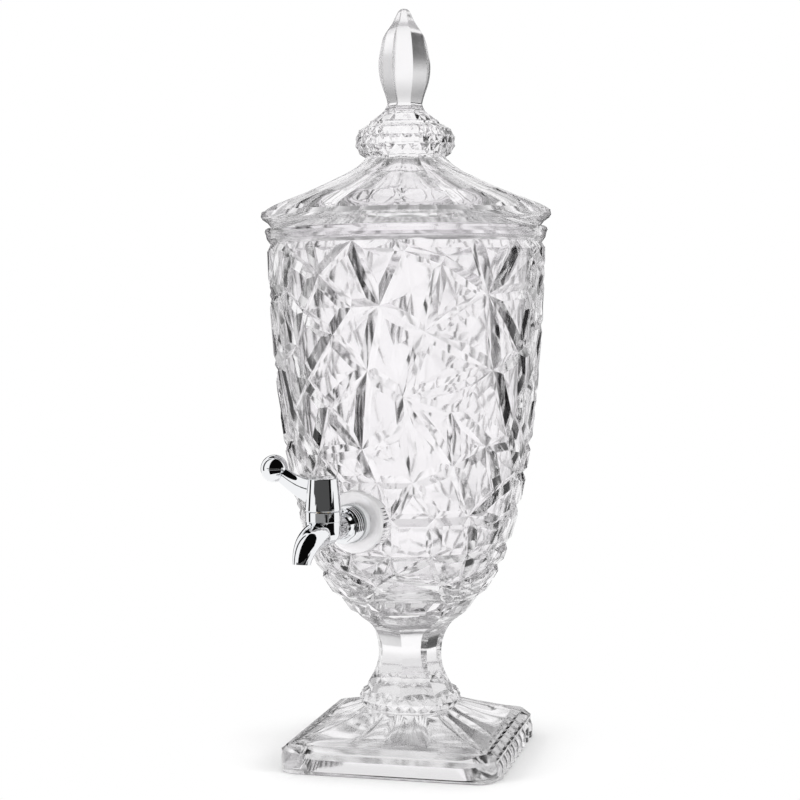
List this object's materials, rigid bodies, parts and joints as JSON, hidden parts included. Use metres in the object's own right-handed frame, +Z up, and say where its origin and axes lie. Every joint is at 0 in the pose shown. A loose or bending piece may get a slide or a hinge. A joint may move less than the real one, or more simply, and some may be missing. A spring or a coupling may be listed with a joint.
{
  "type": "glass beverage dispenser",
  "caption": "Lidded urn-shaped drink dispenser of cut-pattern clear glass on a waisted stem and square foot, with a small chrome lever tap low on its front.",
  "frame": {"origin": "on the table under the middle of the foot, on the dispenser's upright axis", "axes": "+Z up along the dispenser's axis, -Y the way the tap points"},
  "size_m": [0.19, 0.2496, 0.49],
  "materials": {
    "clear_glass": "clear pressed glass, fire polished",
    "tap_chrome": "bright chrome plate",
    "clear_silicone": "translucent silicone",
    "white_nylon": "moulded nylon",
    "plug_brass": "turned brass",
    "seal_rubber": "moulded nitrile rubber",
    "screw_steel": "stainless steel"
  },
  "bodies": {
    "dispenser": {"tank": "clear_glass", "pedestal": "clear_glass", "tap_body": "tap_chrome", "bonnet_ring": "tap_chrome", "outer_washer": "clear_silicone", "inner_washer": "clear_silicone", "backing_washer": "white_nylon", "lock_nut": "tap_chrome"},
    "handle": {"tap_handle": "tap_chrome", "lever_ball": "tap_chrome", "cap_cover": "tap_chrome", "handle_screw": "screw_steel", "valve_plug": "plug_brass", "plug_seal_upper": "seal_rubber", "plug_seal_lower": "seal_rubber"},
    "lid": {"lid": "clear_glass"}
  },
  "joints": [
    {"name": "tap_turn", "type": "hinge", "parent": "dispenser", "child": "handle", "pos_m": [0, -0.121, 0.1855], "axis": [0, 0, 1], "range_deg": [0, 90]},
    {"name": "lid_lift", "type": "slide", "parent": "dispenser", "child": "lid", "axis": [0, 0, 1], "range_m": [0, 0.15]}
  ]
}
